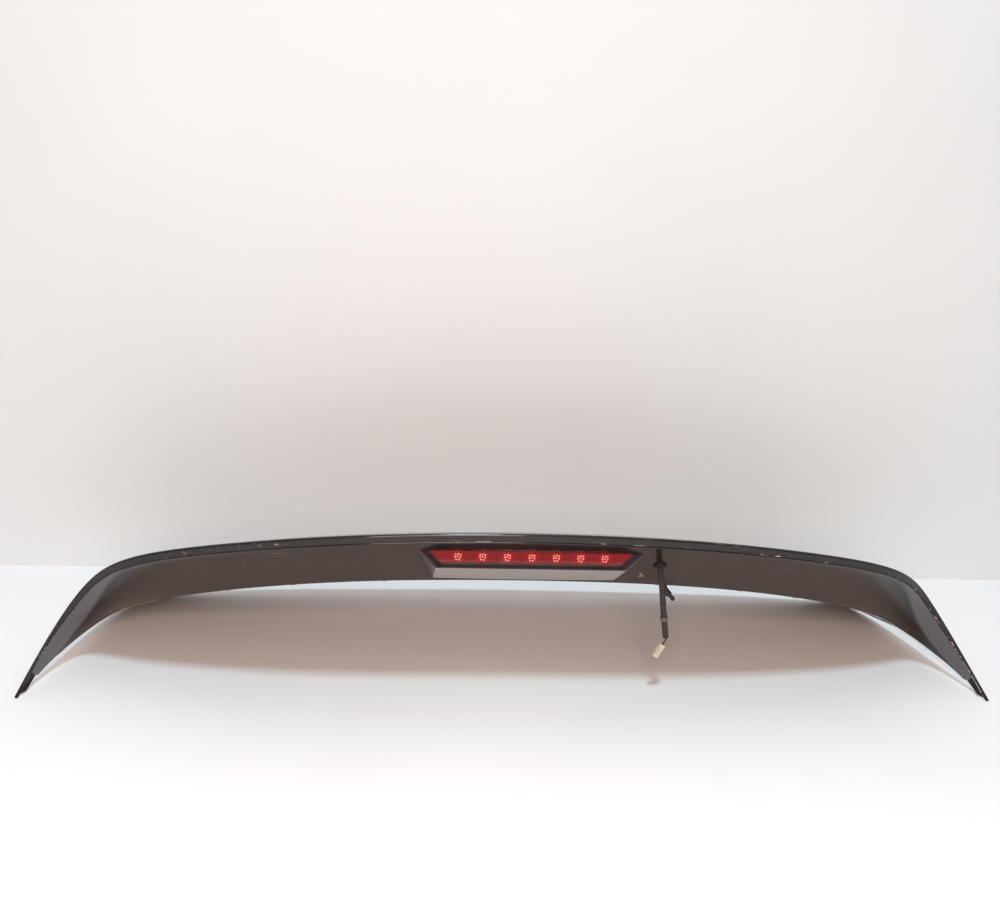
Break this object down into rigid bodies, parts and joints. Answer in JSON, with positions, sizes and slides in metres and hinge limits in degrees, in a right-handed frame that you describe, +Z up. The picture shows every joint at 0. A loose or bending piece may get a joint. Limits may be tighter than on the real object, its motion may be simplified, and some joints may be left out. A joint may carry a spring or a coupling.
{
  "type": "car rear spoiler",
  "caption": "Hollow arched tailgate spoiler with turned-down ears, a sloping rear panel, a high-level stop lamp in a trapezoid frame and a hanging lead with a connector.",
  "frame": {"origin": "middle of the footprint, on the ground under the ear tips and the ends of the leading edge", "axes": "+X along the span, +Y from the trailing edge to the leading edge, +Z up"},
  "size_m": [1.239, 0.3, 0.225],
  "materials": {
    "skin_paint": "gloss",
    "panel_paint": "gloss",
    "frame_paint": "gloss",
    "carrier_plastic": "matte",
    "screw_steel": "satin",
    "insert_brass": "satin",
    "seal_foam": "matte",
    "tape_residue": "matte",
    "housing_plastic": "matte",
    "lens_red": "gloss",
    "reflector_silver": "gloss",
    "board_green": "satin",
    "diode_clear": "gloss",
    "lead_rubber": "matte",
    "loom_tape": "matte",
    "collar_tape": "matte",
    "wire_cover": "satin",
    "connector_white": "satin",
    "fitting_plastic": "satin",
    "eyelet_metal": "satin"
  },
  "bodies": {
    "root": {"outer_skin": "skin_paint", "rear_panel": "panel_paint", "lamp_bezel": "frame_paint", "base_carrier": "carrier_plastic", "stiffener_ribs": "carrier_plastic", "flange_screws": "screw_steel", "lamp_screws": "screw_steel", "mounting_inserts": "insert_brass", "connector_terminals": "insert_brass", "seal_strip": "seal_foam", "lamp_gasket": "seal_foam", "ear_tapes": "tape_residue", "lamp_housing": "housing_plastic", "lamp_socket": "housing_plastic", "lamp_lens": "lens_red", "lamp_reflector": "reflector_silver", "lamp_board": "board_green", "lamp_leds": "diode_clear", "inner_lead": "lead_rubber", "cable_grommet": "lead_rubber", "hose_grommet": "lead_rubber", "washer_hose": "lead_rubber", "lead_loom": "loom_tape", "loom_collar": "collar_tape", "lead_wires": "wire_cover", "lead_connector": "connector_white", "hose_fitting": "fitting_plastic", "panel_eyelet": "eyelet_metal"}
  },
  "joints": []
}
